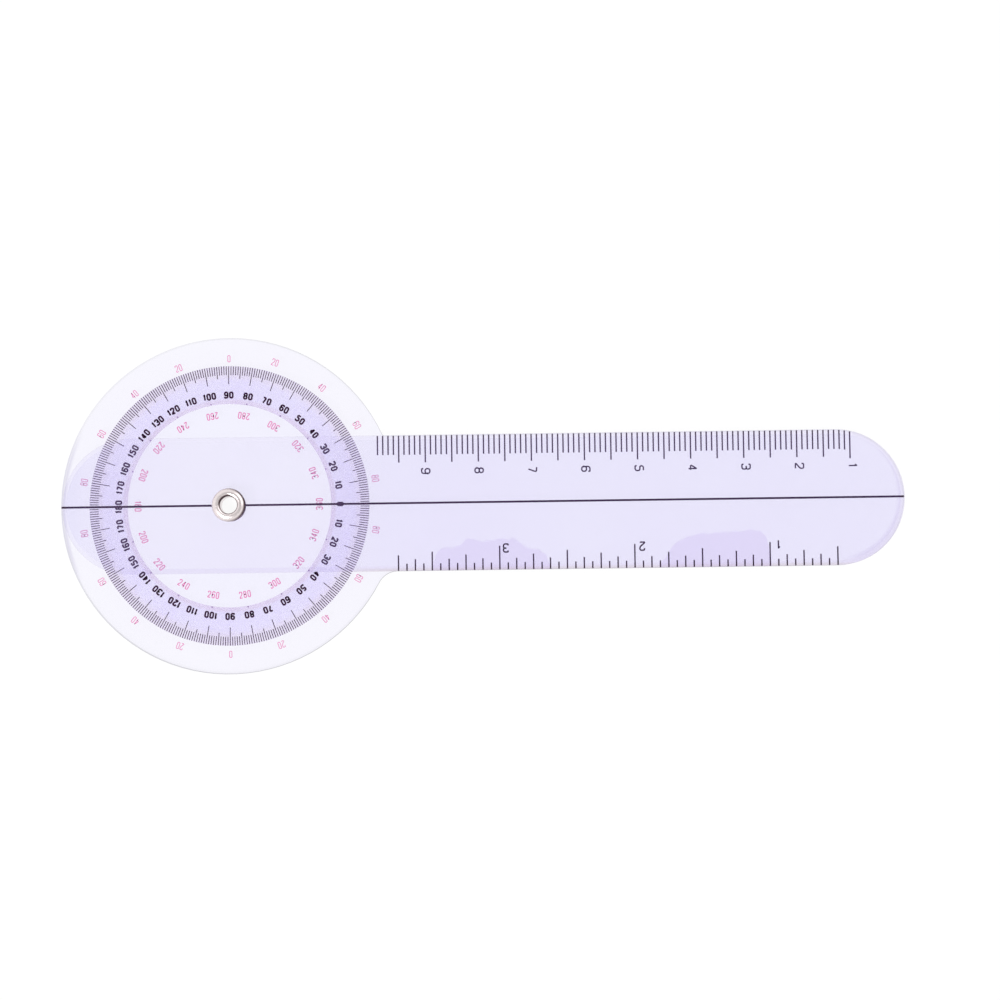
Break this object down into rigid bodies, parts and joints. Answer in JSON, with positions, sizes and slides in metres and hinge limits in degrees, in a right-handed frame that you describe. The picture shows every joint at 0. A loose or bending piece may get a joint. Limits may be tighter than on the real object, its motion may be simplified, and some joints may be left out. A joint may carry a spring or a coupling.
{
  "type": "goniometer",
  "caption": "Clear plastic goniometer: a round degree scale with a fixed ruled arm, and a second ruled arm that turns on a hollow metal eyelet at the disc's centre.",
  "frame": {"origin": "on the pivot axis, at the protractor sheet's underside, where the eyelet's straight bore starts", "axes": "+X along the fixed arm from the pivot to its tip; +Z along the pivot axis, from the protractor sheet up through the moving arm to the eyelet's head; the ruler in millimetres is on the +Y edge"},
  "size_m": [0.1587, 0.0634, 0.0041],
  "materials": {
    "clear_plastic": "clear polished sheet with a faint lavender tint",
    "nickel": "bright nickel plate",
    "lavender_ink": "thin see-through screen print",
    "violet_ink": "screen print",
    "black_ink": "screen print"
  },
  "bodies": {
    "protractor": {"protractor_sheet": "clear_plastic", "pivot_eyelet": "nickel", "scale_band": "lavender_ink", "one_degree_marks": "black_ink", "five_degree_marks": "black_ink", "ten_degree_marks": "black_ink", "scale_dots": "violet_ink", "base_hairline": "black_ink", "millimetre_marks": "black_ink", "half_centimetre_marks": "black_ink", "centimetre_marks": "black_ink"},
    "moving_arm": {"moving_arm_sheet": "clear_plastic", "reading_hairline": "black_ink", "sixteenth_inch_marks": "black_ink", "eighth_inch_marks": "black_ink", "quarter_inch_marks": "black_ink", "half_inch_marks": "black_ink", "whole_inch_marks": "black_ink"}
  },
  "joints": [
    {"name": "arm_swing", "type": "hinge", "parent": "protractor", "child": "moving_arm", "pos_m": [0, 0, 0], "axis": [0, 0, 1], "continuous": true}
  ]
}
